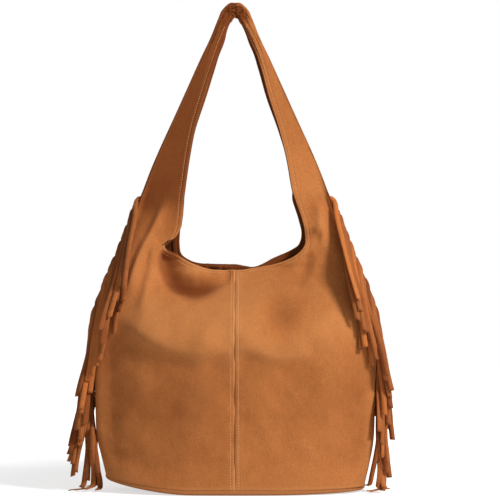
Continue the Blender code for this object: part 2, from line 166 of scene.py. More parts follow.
def body_rows(side, face):
    """Rows as (inner share of half the mouth, inner level, outer level), square to the rim's edge."""
    rim = 0.0 if face == FRONT else BACK_RIM_RISE / (SHOULDER_HEIGHT - RIM_HEIGHT)
    rows = [
        (0.0, 0.0, 0.0),
        (0.0, 0.24, 0.12),
        (0.0, 0.45, 0.24),
        (0.0, 0.63, 0.35),
        (0.0, 0.78, 0.45),
        (0.0, 0.90, 0.53),
        (0.0, 0.985 + rim, 0.60),
        (0.0, 1.0 + rim, 0.61),
        (0.03, 1.0 + rim, 0.62),
    ]
    if face == FRONT and side == LEFT:
        return rows + [
            (0.32, 1.005, 0.69),
            (0.60, 1.078, 0.77),
            (0.83, 1.187, 0.84),
            (0.95, 1.232, 0.88),
            (0.998, 1.295, 0.93),
            (0.95, 1.352, 1.0),
            (0.865, 1.41, 1.09),
            (0.79, 1.514, 1.26),
            (0.755, 1.66, 1.48),
            (0.735, 1.89, 1.80),
        ]
    if face == FRONT:
        return rows + [
            (0.30, 1.03, 0.69),
            (0.60, 1.08, 0.77),
            (0.85, 1.18, 0.85),
            (0.985, 1.31, 0.95),
            (0.995, 1.45, 1.16),
            (0.965, 1.62, 1.44),
            (0.86, 1.90, 1.82),
        ]
    if side == LEFT:
        return rows + [
            (0.32, 1.075, 0.69),
            (0.58, 1.10, 0.77),
            (0.76, 1.19, 0.85),
            (0.805, 1.32, 0.96),
            (0.805, 1.45, 1.18),
            (0.785, 1.62, 1.45),
            (0.745, 1.89, 1.80),
        ]
    return rows + [
        (0.28, 1.04, 0.69),
        (0.56, 1.16, 0.77),
        (0.80, 1.26, 0.87),
        (0.93, 1.36, 1.0),
        (0.955, 1.47, 1.2),
        (0.92, 1.64, 1.46),
        (0.83, 1.91, 1.82),
    ]


def strap_rows(side, face):
    levels = (2.08, 2.23, 2.38, 2.54, 2.70, 2.83)
    if side == LEFT:
        widths = (2.14, 1.72, 1.31, 1.05, 0.80, 0.62) if face == FRONT else (1.98, 1.60, 1.25, 1.05, 0.86, 0.70)
    else:
        widths = (1.76, 1.40, 1.10, 0.88, 0.60, 0.50) if face == FRONT else (1.70, 1.34, 1.10, 0.95, 0.72, 0.60)
    rows = list(zip(levels, widths))
    return rows + [(2.92, 0.66), (2.965, 0.69)]


def panel_outline(side, face):
    """The panel's inner and outer edge as a function of the length along it, and its whole length."""
    rows = []
    for in_share, in_level, out_level in body_rows(side, face):
        in_x = in_share * MOUTH_WIDTH / 2
        rows.append((in_x, height(in_level), float(half_width(height(out_level))), height(out_level)))
    for level, share in strap_rows(side, face):
        z = height(level)
        x = float(half_width(z))
        below = height(level - 0.02)
        along_x, along_z = x - float(half_width(below)), z - below
        length = math.hypot(along_x, along_z)
        width = share * STRAP_WIDTH
        rows.append((x - width * along_z / length, z + width * along_x / length, x, z))
    for x in (float(half_width(TOTAL_HEIGHT)), 0.0):
        rows.append((x, TOTAL_HEIGHT - 0.70 * STRAP_WIDTH, x, TOTAL_HEIGHT))
    knots = [0.0]
    for a, b in zip(rows, rows[1:]):
        inner = math.hypot(b[0] - a[0], b[1] - a[1])
        outer = math.hypot(b[2] - a[2], b[3] - a[3])
        knots.append(knots[-1] + 0.5 * (inner + outer))
    return curve_through(knots, rows), knots[-1]


def body_depths():
    base, belly, rim = BASE_DEPTH / 2, BODY_DEPTH / 2, RIM_DEPTH
    shape = (
        (0.0, base, base),
        (0.19, base + 0.60 * (belly - base), base + 0.62 * (belly - base)),
        (0.40, base + 0.84 * (belly - base), base + 0.88 * (belly - base)),
        (0.58, base + 0.95 * (belly - base), belly),
        (0.71, base + 0.80 * (belly - base), belly),
        (0.84, rim + 0.62 * (belly - rim), 0.95 * belly),
        (0.955, rim + 0.09 * (belly - rim), 0.87 * belly),
        (1.0, rim, 0.82 * belly),
        (1.1, rim, 0.74 * belly),
        (1.21, rim, 0.65 * belly),
        (1.32, rim, 0.55 * belly),
        (1.5, rim, 0.36 * belly),
        (1.7, rim, 0.22 * belly),
        (2.0, rim, 0.14 * belly),
    )
    curve = curve_through([s[0] for s in shape], [s[1:] for s in shape])
    return tabled(curve, 0.0, 2.0, 0), tabled(curve, 0.0, 2.0, 1)


half_width = side_outline()
MIDDLE_DEPTH, SIDE_DEPTH = body_depths()


def depth_at(x, z, share):
    """Depth of the outer surface at a place on the front or back and a share of the panel's width."""
    level = level_of(z)
    middle, sides = MIDDLE_DEPTH(level), SIDE_DEPTH(level)
    across = np.clip(x / half_width(z), 0.0, 1.0) * SEAM_TURN
    body = (middle + (sides - middle) * across**2) * (1.0 - across**BODY_ROUND) ** (1.0 / BODY_ROUND)
    edge = 2 * SUEDE + 0.3
    top = smooth((level - 2.5) / 0.4)
    lean = edge + (STRAP_LEAN - edge) * smooth((3.0 - level) / 0.6) * np.maximum(1.0 - share, 0.0) ** 0.9
    fullness = edge + (STRAP_FULLNESS - edge) * smooth(share / 0.4)
    round_top = fullness * (1.0 - np.minimum(share, SEAM_TURN) ** STRAP_ROUND) ** (1.0 / STRAP_ROUND)
    strap = lean + (round_top - lean) * top
    depth = body + (strap - body) * smooth((level - 1.55) / 0.6)
    return depth * np.clip((1.0 - share) / (1.0 - SEAM_TURN), 0.0, 1.0)


def seam_half_gap(z):
    """Half the room between front and back at the side seam, wider where the fringe band lies in it."""
    margin = 8.0
    band = smooth((z - FRINGE_BOTTOM + 2 * margin) / margin) * smooth((FRINGE_TOP + 2 * margin - z) / margin)
    return 0.15 + 0.75 * band


# Folds, as depth added to the surface. Places are (x, z) in millimetres.

def rounded(points, count=10):
    """The line through the points with its corners rounded."""
    points = np.array(points, float)
    knots = np.arange(len(points))
    curve = curve_through(knots, points)
    return np.array([curve(t) for t in np.linspace(0, knots[-1], count * knots[-1] + 1)])


def beside(x, z, points):
    """Distance to the line, positive on its left going along it, and the share of its length."""
    line = rounded(points)
    steps = np.diff(line, axis=0)
    lengths = np.hypot(steps[:, 0], steps[:, 1])
    starts = np.concatenate([[0.0], np.cumsum(lengths)])
    nearest = np.full(np.shape(x), 1e9)
    signed, along = np.zeros(np.shape(x)), np.zeros(np.shape(x))
    for (ax, az), (dx, dz), length, start in zip(line, steps, lengths, starts):
        px, pz = x - ax, z - az
        t = np.clip((px * dx + pz * dz) / length**2, 0.0, 1.0)
        distance = np.hypot(px - t * dx, pz - t * dz)
        closer = distance < nearest
        nearest = np.where(closer, distance, nearest)
        side = np.sign(dx * pz - dz * px)
        signed = np.where(closer, distance * np.where(side == 0, 1, side), signed)
        along = np.where(closer, (start + t * length) / starts[-1], along)
    return signed, along


def fold(x, z, points, depth, left, right, ends=(0.25, 0.25)):
    """A ridge, or with a negative depth a crease, with its own width on each side of the line."""
    distance, along = beside(x, z, points)
    profile = np.where(distance > 0, bell(distance, left), bell(distance, right))
    return depth * profile * smooth(along / ends[0]) * smooth((1.0 - along) / ends[1])


def overhang(x, z, points, swell, tuck, above, below, ends=(0.2, 0.2)):
    """Leather that slumps over the line, seen from the left end, and tucks in under it."""
    distance, along = beside(x, z, points)
    upper = swell * bell(distance, above)
    drop = np.maximum(-distance, 0.0)
    lower = (swell + tuck) * bell(drop, 0.22 * below) - tuck * np.exp(-drop / below)
    shape = np.where(distance > 0, upper, lower)
    return shape * smooth(along / ends[0]) * smooth((1.0 - along) / ends[1])


def waves(x, z, size, seed, count=14):
    """A smooth random surface between about -1 and 1, its waves about the given size."""
    chance = np.random.default_rng(seed)
    total = np.zeros(np.shape(x))
    for _ in range(count):
        heading = chance.uniform(0, math.tau)
        pitch = math.tau / (size * chance.uniform(0.7, 1.5))
        total += np.sin(pitch * (x * math.cos(heading) + z * math.sin(heading)) + chance.uniform(0, math.tau))
    return total / math.sqrt(count)


def front_relief(x, z):
    """Folds of the front: the pouch under the rim, the slump over the belly and the pulls to the strap."""
    relief = 5.0 * bell(z - 226, 40.0) - 4.0 * bell(z - 120, 50.0) - 8.0 * (x / half_width(z)) ** 2
    crease = ((-96, 326), (-97, 304), (-92, 285), (-80, 271), (-57, 262), (-37, 267), (-18, 280), (-6, 292))
    relief += fold(x, z, crease, -18.0, 21.0, 4.5, ends=(0.10, 0.35))
    relief += 6.0 * bell(np.hypot((x + 56) / 34, (z - 293) / 12), 1.0)
    belly_lip = ((-148, 240), (-130, 224), (-108, 208), (-80, 196), (-44, 191), (-8, 204))
    relief += overhang(x, z, belly_lip, 7.5, 7.5, 32.0, 70.0)
    relief += overhang(x, z, ((-4, 200), (30, 192), (64, 184), (104, 192)), 3.6, 4.6, 22.0, 60.0)
    relief += fold(x, z, ((-90, 398), (-110, 354), (-125, 324), (-136, 292), (-145, 256)), 7.0, 10.0, 5.0)
    relief += fold(x, z, ((-106, 344), (-117, 276), (-127, 236)), 4.0, 9.0, 5.0)
    relief += fold(x, z, ((101, 326), (94, 300), (82, 268)), -3.5, 8.0, 6.0)
    relief += fold(x, z, ((112, 396), (114, 360), (108, 334)), 5.0, 9.0, 9.0)
    relief += fold(x, z, ((86, 340), (104, 345), (118, 340)), -6.0, 8.0, 8.0)
    relief += fold(x, z, ((-16, 304), (-9, 289), (-16, 274)), -4.0, 5.0, 7.0)
    relief += -5.0 * bell(np.hypot(x - 62, 0.8 * (z - 234)), 30.0)
    return relief


def back_relief(x, z):
    """The back hangs plainly, with soft slumps."""
    relief = 3.0 * bell(z - 214, 42.0) - 4.0 * bell(z - 154, 34.0)
    relief += overhang(x, z, ((-130, 214), (-60, 196), (20, 200), (110, 220)), 2.5, 3.5, 26.0, 34.0)
    relief += fold(x, z, ((104, 372), (128, 316), (140, 262)), 2.6, 9.0, 11.0)
    relief += fold(x, z, ((-104, 372), (-124, 322), (-140, 266)), 2.2, 10.0, 9.0)
    return relief


def nap_and_painted_shade(side, face, points, share, relief):
    """Paler above 0, darker below 0: partly how the nap lies, mostly painted light and shade. Ridges paler, partly
    rubbed and partly a painted highlight; hollows, creases, the front arms and the top of the strap darker as painted
    shade.
    """
    x, z = points[..., 0], points[..., 2]
    # Painted light and shade from the relief: ridges paler, hollows and creases darker.
    nap_and_painted_shade_level = np.clip((relief + 3.0) / 16.0, -0.8, 0.4)
    # Painted shade in the crumpled knot at the top of the strap and along the strap arms' inner edges towards the top.
    nap_and_painted_shade_level = nap_and_painted_shade_level - 1.2 * smooth((z - 624.0) / 18.0) * smooth((0.80 - share) / 0.2)
    nap_and_painted_shade_level -= 0.8 * smooth((z - 540.0) / 80.0) * smooth((0.25 - share) / 0.2)
    if face == FRONT:
        # Painted shade up the front arms, strongest on the left, the side turned away from the key lamp.
        nap_and_painted_shade_level -= 1.2 * smooth((z - 325.0) / 90.0) * (side == LEFT)
        nap_and_painted_shade_level -= 0.45 * smooth((z - 400.0) / 100.0) * (side == RIGHT)
        nap_and_painted_shade_level += 0.25 * bell(x, 8.0) * (z < RIM_HEIGHT)
        # Painted shade in the crease under the pouch, in the hollow on the right and on the lower left under the
        # belly's slump.
        nap_and_painted_shade_level -= 0.5 * bell(np.hypot((x + 60.0) / 34.0, (z - 272.0) / 12.0), 1.0)
        nap_and_painted_shade_level -= 0.45 * bell(np.hypot((x - 62.0) / 34.0, (z - 236.0) / 30.0), 1.0)
        nap_and_painted_shade_level -= 0.25 * bell(np.hypot((x + 60.0) / 60.0, (z - 70.0) / 60.0), 1.0)
    nap_and_painted_shade_level += 0.9 * bell(z - BASE_SEAM - 1.5, 3.0)
    return nap_and_painted_shade_level


# Panels

HEM_PLACES = (0.0, 0.7, 1.7, 3.0, 4.3, STITCH_INSET, 6.5, 7.8, HEM_WIDTH, 11.0)
STITCH_COLUMN = HEM_PLACES.index(STITCH_INSET)


def panel_grid(side, face, rows, columns):
    """Outer surface of a panel as a grid of points, with each point's distance from the inner edge."""
    outline, length = panel_outline(side, face)
    edges = np.array([outline(t) for t in np.linspace(0.0, length, rows)])
    in_x, in_z, out_x, out_z = (edges[:, k][:, None] for k in range(4))
    out_x = np.where(out_z < SHOULDER_HEIGHT, half_width(out_z), out_x)
    width = np.hypot(out_x - in_x, out_z - in_z)
    hem = np.array(HEM_PLACES)[None, :] * np.minimum(1.0, 0.42 * width / HEM_PLACES[-1])
    spread = 1.0 - (1.0 - np.linspace(0.0, 1.0, columns + 1)[1:]) ** 1.7
    rest = hem[:, -1:] + (width - hem[:, -1:]) * spread[None, :]
    distance = np.concatenate([hem, rest], axis=1)
    share = distance / width
    x = in_x + (out_x - in_x) * share
    z = in_z + (out_z - in_z) * share
    x = np.maximum(x, 0.0)
    relief = (front_relief if face == FRONT else back_relief)(side * x, z)
    seed = 10 + 2 * face + side
    relief += 1.1 * waves(x, z, 75.0, seed) + 0.45 * waves(x, z, 30.0, seed + 50) + 0.13 * waves(x, z, 11.0, seed + 90)
    level = level_of(z)
    free = smooth((z - 6.0) / 40.0) * (1.0 - 0.93 * smooth((level - 1.75) / 0.4)) * smooth((1.0 - share) / 0.15)
    depth = depth_at(x, z, share) + relief * free
    depth += gathers(z, share, distance, seed)
    depth += hem_relief(distance, in_x, in_z, z)
    points = np.stack([side * x, face * (seam_half_gap(z) + depth), z], axis=-1)
    return settle(points), distance, width, relief * free


def settle(points):
    """The soft bottom corners curl up a little off the ground, the left one more."""
    x, z = points[..., 0], points[..., 2]
    most = np.where(x < 0, LEFT_CORNER_LIFT, RIGHT_CORNER_LIFT)
    lift = most * (np.maximum(np.abs(x) - 60.0, 0.0) / 118.0) ** 1.6 * (1.0 - smooth(z / 110.0))
    return points + np.stack([np.zeros_like(x), np.zeros_like(x), lift], axis=-1)


def gathers(z, share, distance, seed):
    """Small pleats along the strap where it is bunched at the top."""
    drawn = smooth((z - 560.0) / 60.0) * smooth((1.0 - share) / 0.2)
    knot = smooth((z - 628.0) / 14.0) * smooth((0.86 - share) / 0.2)
    pleats = np.sin(distance * 1.1 + 0.4 * seed) + 0.5 * np.sin(distance * 2.3 + z * 0.15)
    crumple = waves(distance * 1.6, z, 6.0, seed + 7)
    return 0.5 * drawn * pleats + knot * (1.2 * crumple - 1.0)


def hem_relief(distance, in_x, in_z, z):
    """The doubled edge stands up, the stitches pull it down, and the centre seam lies in a groove."""
    lift = 0.50 * bell(distance - 2.7, 1.9) - 0.50 * bell(distance - STITCH_INSET, 1.0)
    lift += 0.30 * bell(distance - 7.4, 1.4) + 0.25 * bell(distance, 14.0)
    at_seam = (in_x < 0.5) & (in_z < RIM_HEIGHT - 2.0)
    pressed = 0.5 * lift - 1.1 * bell(distance, 1.0)
    return np.where(at_seam, pressed, lift) * smooth((z - 6.0) / 12.0)


def normals_of(points):
    """Unit normals of a grid of points, turned away from the bag's middle plane."""
    along = np.gradient(points, axis=0)
    across = np.gradient(points, axis=1)
    normal = np.cross(along, across)
    normal /= np.maximum(np.linalg.norm(normal, axis=-1, keepdims=True), 1e-9)
    middle = normal[: len(normal) // 2, 10:40, 1] * np.sign(points[: len(normal) // 2, 10:40, 1])
    return normal if middle.mean() > 0 else -normal


def sheet_with_turned_edge(points, normal):
    """Middle of the leather: from inside the turned edge, round its fold and on over the surface."""
    inward = points[:, 1] - points[:, 0]
    inward /= np.maximum(np.linalg.norm(inward, axis=-1, keepdims=True), 1e-9)
    hem = range(HEM_PLACES.index(HEM_WIDTH), -1, -1)
    columns = [points[:, c] - normal[:, c] * 1.5 * SUEDE for c in hem]
    centre = points[:, 0] - normal[:, 0] * SUEDE
    for degrees in (135.0, 90.0, 45.0):
        angle = math.radians(degrees)
        columns.append(centre + 0.5 * SUEDE * (normal[:, 0] * math.cos(angle) - inward * math.sin(angle)))
    columns += [points[:, c] - normal[:, c] * 0.5 * SUEDE for c in range(points.shape[1])]
    return np.stack(columns, axis=1)


def grid_object(name, grid, flip, materials, thickness, values=None):
    """A sheet through the grid of points, in metres, with its thickness and its materials."""
    rows, columns = grid.shape[:2]
    index = np.arange(rows * columns).reshape(rows, columns)
    faces = np.stack([index[:-1, :-1], index[:-1, 1:], index[1:, 1:], index[1:, :-1]], axis=-1).reshape(-1, 4)
    if flip:
        faces = faces[:, ::-1]
    return mesh_object(name, grid.reshape(-1, 3), faces, materials, thickness, values)


def mesh_object(name, points, faces, materials, thickness, values=None):
    mesh = bpy.data.meshes.new(name)
    mesh.from_pydata((np.asarray(points) * MM).tolist(), [], np.asarray(faces).tolist())
    for key, data in (values or {}).items():
        mesh.attributes.new(key, "FLOAT", "POINT").data.foreach_set("value", np.ravel(data).astype(float))
    item = bpy.data.objects.new(name, mesh)
    bpy.context.scene.collection.objects.link(item)
    for material in materials:
        mesh.materials.append(material)
    if thickness:
        solidify = item.modifiers.new("thickness", "SOLIDIFY")
        solidify.thickness = thickness * MM
        solidify.offset = 0.0
        solidify.material_offset = len(materials) - 1
        made = bpy.data.meshes.new_from_object(item.evaluated_get(bpy.context.evaluated_depsgraph_get()))
        made.name = name
        item.modifiers.clear()
        item.data = made
    item.data.shade_smooth()
    return item


def area_of(points):
    """Area of a grid of points, in square metres."""
    along, across = points[1:, :-1] - points[:-1, :-1], points[:-1, 1:] - points[:-1, :-1]
    return float(np.linalg.norm(np.cross(along, across), axis=-1).sum()) * MM * MM


def panel(name, side, face, materials):
    points, distance, width, relief = panel_grid(side, face, 230, 58)
    normal = normals_of(points)
    grid = sheet_with_turned_edge(points, normal)
    extra = grid.shape[1] - points.shape[1]
    from_edge = np.concatenate([np.full((len(points), extra), 5.0), distance], axis=1)
    nap_and_painted_shade_values = nap_and_painted_shade(side, face, points, distance / width, relief)
    # Painted shade on the turned-under layer, where it lies in the dark gap between front and back.
    nap_and_painted_shade_values = np.concatenate([np.full((len(points), extra), -1.4), nap_and_painted_shade_values], axis=1)
    item = grid_object(
        name, grid, side * face > 0, materials, 0.94 * SUEDE, {"from_edge": from_edge, "nap_and_painted_shade": nap_and_painted_shade_values}
    )
    row = points[:, STITCH_COLUMN] + normal[:, STITCH_COLUMN] * 0.12
    turn = int(np.argmax(np.abs(points[:, 0, 0]) > 1.0))
    end = int(np.argmax(points[:, 0, 2] > TOTAL_HEIGHT - 34.0))
    return item, (row[1:turn], row[turn:end]), area_of(grid)


# Stitches

def new_tree(name):
    tree = bpy.data.node_groups.new(name, "GeometryNodeTree")
    tree.is_modifier = True
    tree.interface.new_socket("Geometry", in_out="INPUT", socket_type="NodeSocketGeometry")
    tree.interface.new_socket("Geometry", in_out="OUTPUT", socket_type="NodeSocketGeometry")
    return tree


def add_node(tree, kind, inputs=None, **settings):
    """A node with its settings, and its inputs set to values or joined to other nodes' outputs."""
    node = tree.nodes.new(kind)
    for key, value in settings.items():
        setattr(node, key, value)
    for key, value in (inputs or {}).items():
        if isinstance(value, bpy.types.NodeSocket):
            tree.links.new(value, node.inputs[key])
        else:
            node.inputs[key].default_value = value
    return node


def stitch_tree(thread):
    """Stitches of the thread along the curve: one grain-shaped stitch at each pitch."""
    tree = new_tree("stitch_row")
    for label in ("Pitch", "Length", "Thread"):
        tree.interface.new_socket(label, in_out="INPUT", socket_type="NodeSocketFloat")
    entry = add_node(tree, "NodeGroupInput")
    points = add_node(
        tree, "GeometryNodeCurveToPoints", {"Curve": entry.outputs["Geometry"], "Length": entry.outputs["Pitch"]},
        mode="LENGTH",
    )
    turn = add_node(tree, "FunctionNodeAlignRotationToVector", {"Vector": points.outputs["Tangent"]}, axis="Z")
    grain = add_node(tree, "GeometryNodeMeshUVSphere", {"Segments": 6, "Rings": 4, "Radius": 0.5})
    size = add_node(
        tree, "ShaderNodeCombineXYZ",
        {"X": entry.outputs["Thread"], "Y": entry.outputs["Thread"], "Z": entry.outputs["Length"]},
    )
    placed = add_node(
        tree, "GeometryNodeInstanceOnPoints",
        {
            "Points": points.outputs["Points"], "Instance": grain.outputs["Mesh"],
            "Rotation": turn.outputs["Rotation"], "Scale": size.outputs["Vector"],
        },
    )
    real = add_node(tree, "GeometryNodeRealizeInstances", {"Geometry": placed.outputs["Instances"]})
    dressed = add_node(
        tree, "GeometryNodeSetMaterial", {"Geometry": real.outputs["Geometry"], "Material": thread}
    )
    add_node(tree, "NodeGroupOutput", {"Geometry": dressed.outputs["Geometry"]})
    return tree


def stitches(name, lines, tree, thread, sizes):
    """Rows of stitches along the lines, as one plain mesh. The sizes are pitch, length and thread."""
    curve = bpy.data.curves.new(name + "_rows", "CURVE")
    curve.dimensions = "3D"
    for line in lines:
        spline = curve.splines.new("POLY")
        spline.points.add(len(line) - 1)
        flat = np.concatenate([np.asarray(line) * MM, np.ones((len(line), 1))], axis=1)
        spline.points.foreach_set("co", flat.ravel())
    rows = bpy.data.objects.new(name + "_rows", curve)
    bpy.context.scene.collection.objects.link(rows)
    sewing = rows.modifiers.new("stitches", "NODES")
    sewing.node_group = tree
    for label, size in zip(("Pitch", "Length", "Thread"), sizes):
        sewing[tree.interface.items_tree[label].identifier] = size * MM
    made = bpy.data.meshes.new_from_object(rows.evaluated_get(bpy.context.evaluated_depsgraph_get()))
    made.name = name
    bpy.data.objects.remove(rows, do_unlink=True)
    item = bpy.data.objects.new(name, made)
    bpy.context.scene.collection.objects.link(item)
    if not made.materials:
        made.materials.append(thread)
    made.shade_smooth()
    return item


# Base

def base(materials):
    """The oval base with its edge turned up behind the panels' lower edge."""
    sides = 180
    angles = (np.arange(sides + 1) / sides) * math.tau
    power = 2.0 / BODY_ROUND
    cos, sin = np.cos(angles), np.sin(angles)
    ex, ey = np.sign(cos) * np.abs(cos) ** power, np.sign(sin) * np.abs(sin) ** power
    half_length, half_depth = BASE_LENGTH / 2 - 0.8, BASE_DEPTH / 2
    profile = [(0.0, 0.75)] + [(1.0 - r, 0.75) for r in (0.75, 0.5, 0.25, 0.08)]
    profile = [(f, z, 0.0) for f, z in profile]
    profile += [(1.0, 0.75, -4.0), (1.0, 1.2, -1.8), (1.0, 2.4, -0.6), (1.0, 4.2, -0.2), (1.0, 6.5, -0.6), (1.0, 9.5, -2.2)]
    grid = []
    for share, z, inset in profile:
        x = (half_length * share + inset) * ex if share else 0.0 * ex
        y = (half_depth * share + inset) * ey if share else 0.0 * ey
        grid.append(np.stack([x, y, np.full(sides + 1, z)], axis=-1))
    grid = settle(np.array(grid))
    points = [grid[0, 0]]
    rings = []
    for ring in grid[1:]:
        rings.append(range(len(points), len(points) + sides))
        points += list(ring[:sides])
    mesh_faces = [(0, rings[0][(i + 1) % sides], rings[0][i]) for i in range(sides)]
    for lower, upper in zip(rings, rings[1:]):
        for i in range(sides):
            j = (i + 1) % sides
            mesh_faces.append((lower[i], lower[j], upper[j], upper[i]))
    mesh = bpy.data.meshes.new("base_shell")
    mesh.from_pydata((np.array(points) * MM).tolist(), [], [list(f) for f in mesh_faces])
    item = bpy.data.objects.new("base_shell", mesh)
    bpy.context.scene.collection.objects.link(item)
    for material in materials:
        mesh.materials.append(material)
    solidify = item.modifiers.new("thickness", "SOLIDIFY")
    solidify.thickness = SUEDE * MM
    solidify.offset = 0.0
    made = bpy.data.meshes.new_from_object(item.evaluated_get(bpy.context.evaluated_depsgraph_get()))
    made.name = "base_shell"
    item.modifiers.clear()
    # The base a little darker all over, through the same attribute.
    made.attributes.new("nap_and_painted_shade", "FLOAT", "POINT").data.foreach_set("value", [-0.4] * len(made.vertices))
    item.data = made
    made.shade_smooth()
    return item, area_of(grid)


# Fringe. Strips are laid one on another from the lowest root up, on a map of the side's surface.

MAP_START, MAP_WIDTH, MAP_TOP = 90, 190, 420


def side_surface():
    """Height of the body's surface over the middle plane, by millimetres of x and of z."""
    x = np.arange(MAP_START, MAP_START + MAP_WIDTH, dtype=float)[:, None]
    z = np.maximum(np.arange(0.0, MAP_TOP), BASE_SEAM)[None, :]
    half = half_width(z)
    share = np.clip(1.0 - (half - x) / (0.4 * half), 0.0, SEAM_TURN)
    return np.where(x < half, seam_half_gap(z) + depth_at(np.minimum(x, half), z, share), 0.0)


def softened(values, reach=4):
    kernel = np.hanning(2 * reach + 3)[1:-1]
    return np.convolve(np.pad(values, reach, mode="edge"), kernel / kernel.sum(), mode="valid")


LEAN_HEIGHTS = (116.0, 140.0, 175.0, 205.0, 230.0, 260.0, 400.0)
STRIP_LEANS = {
    LEFT: (-0.12, 0.02, 0.16, 0.12, 0.06, 0.14, 0.15),
    RIGHT: (-0.05, 0.0, 0.03, 0.03, 0.05, 0.14, 0.15),
}


def strip_route(side, root_z, length, chance):
    """Out of the seam, round and down, and along the floor where it is too long."""
    step = 2.0
    lean = float(np.interp(root_z, LEAN_HEIGHTS, STRIP_LEANS[side])) + chance.uniform(-0.08, 0.08)
    out = chance.uniform(3.4, 5.4)
    x, z, ground = [float(half_width(root_z)) - 6.0], [root_z], [0.0]
    turns = [0.0]
    toward = chance.uniform(-0.5, 1.0)
    for s in np.arange(-4.0, length, step):
        turn = 0.5 * math.pi * (1.0 - math.exp(-max(s - 1.0, 0.0) / out))
        hang = lean * 1.25 * float(smooth((s - 8.0) / 45.0))
        heading = np.array([math.cos(turn) + hang * math.sin(turn), -math.sin(turn)])
        low = float(smooth((13.0 - z[-1]) / 10.0))
        heading = heading / np.linalg.norm(heading) * (1.0 - low) + np.array([toward, 0.0]) * low
        if z[-1] < 2.2:
            heading[1] = 0.0
        size = max(float(np.linalg.norm(heading)), 0.6)
        x.append(x[-1] + step * heading[0] / size)
        z.append(max(z[-1] + step * heading[1] / size, 1.6))
        ground.append(ground[-1] + step * low)
        turns.append(turn)
    return np.array(x), np.array(z), np.array(turns), np.array(ground)


def lay_strip(x, z, tilt, width, heights):
    """Lowest y for the strip that keeps it on what already lies there, and its mark on the map."""
    half = np.maximum(0.5 * width * np.cos(tilt), 1.0)
    need = np.zeros(len(x))
    for reach in np.linspace(-1.0, 1.0, 7):
        column = np.clip(np.round(x + reach * half - MAP_START), 0, MAP_WIDTH - 1).astype(int)
        row = np.clip(np.round(z), 0, MAP_TOP - 1).astype(int)
        need = np.maximum(need, heights[column, row] + reach * 0.5 * width * np.sin(tilt))
    return need + 1.1


def mark_strip(x, y, z, tilt, width, heights):
    half = np.maximum(0.5 * width * np.cos(tilt), 1.0)
    for reach in np.linspace(-1.0, 1.0, 11):
        column = np.clip(np.round(x + reach * half - MAP_START), 0, MAP_WIDTH - 1).astype(int)
        top = y - reach * 0.5 * width * np.sin(tilt) + 0.7
        for shift in (-1, 0, 1):
            row = np.clip(np.round(z) + shift, 0, MAP_TOP - 1).astype(int)
            np.maximum.at(heights, (column, row), top)


def strip_line(side, face, root_z, length, width, heights, chance):
    """Centre line of a strip, its width direction at each point."""
    x, z, turn, ground = strip_route(side, root_z, length, chance)
    drop = np.maximum(np.arange(len(x)) * 2.0 - 8.0, 0.0)
    loose = smooth((235.0 - root_z) / 60.0)
    sway = chance.uniform(0.8, 2.0 + 1.5 * loose)
    wave = np.sin(drop / chance.uniform(17, 34) + chance.uniform(0, math.tau)) * smooth(drop / 70.0)
    x = x + sway * wave
    start, end = chance.uniform(-12, 40), chance.uniform(-30, 42) + chance.uniform(-40, 40) * loose
    tilt = np.radians(start + (end - start) * smooth(drop / 110.0)) * smooth(drop / 25.0)
    free = drop * chance.uniform(0.03, 0.14) + 0.7 * sway * (1.0 + wave) + ground * chance.uniform(0.2, 0.9)
    need = lay_strip(x, z, tilt, width, heights) + chance.uniform(0.0, 2.6)
    held = smooth(drop / 14.0)
    y = softened(np.maximum(free, softened(need, 3)), 4) * held + 0.05
    mark_strip(x, y, z, tilt, width, heights)
    flat = np.stack([side * np.cos(tilt), -face * np.sin(tilt), np.zeros(len(x))], axis=-1)
    rise = np.array([0.0, 0.0, 1.0])[None, :]
    across = rise * np.cos(turn)[:, None] + flat * np.sin(turn)[:, None]
    return np.stack([side * x, face * y, z], axis=-1), across


def fringe(name, side, materials):
    """The strips cut from one band, their roots tucked into the side seam and hanging out of it."""
    chance = np.random.default_rng(41 + side)
    pitch = (FRINGE_TOP - FRINGE_BOTTOM) / (STRIP_COUNT - 1)
    maps = {FRONT: side_surface(), BACK: side_surface()}
    points, faces, tone = [], [], []
    area = 0.0
    for i in reversed(range(STRIP_COUNT)):
        root_z = FRINGE_TOP - i * pitch
        face = BACK if i % 3 == 1 else FRONT
        length = STRIP_LENGTH * chance.uniform(0.965, 1.0)
        width = STRIP_WIDTH * chance.uniform(0.86, 1.04)
        line, across = strip_line(side, face, root_z, length, width, maps[face], chance)
        line, across = line[::2], across[::2]
        along = np.gradient(line, axis=0)
        out = np.cross(along, across)
        out /= np.maximum(np.linalg.norm(out, axis=-1, keepdims=True), 1e-9)
        cup = chance.uniform(-0.6, 0.6) * smooth(np.arange(len(line)) / 10.0)[:, None]
        slant = chance.uniform(-2.5, 2.5)
        shade = chance.normal(0.0, 1.0)
        start, rows = len(points), len(line)
        for place in (-0.5, 0.0, 0.5):
            edge = line + across * width * place + out * cup * (1.0 - 4.0 * place * place)
            edge[-1, 2] += slant * place
            points += list(edge)
            tone += [shade] * rows
        for k in range(2):
            for j in range(rows - 1):
                a, b = start + k * rows + j, start + (k + 1) * rows + j
                faces.append((a, a + 1, b + 1, b))
        area += width * length * MM * MM
    item = mesh_object(name, np.array(points), faces, materials, STRIP_THICKNESS, {"tone": np.array(tone)})
    return item, area


# Closure

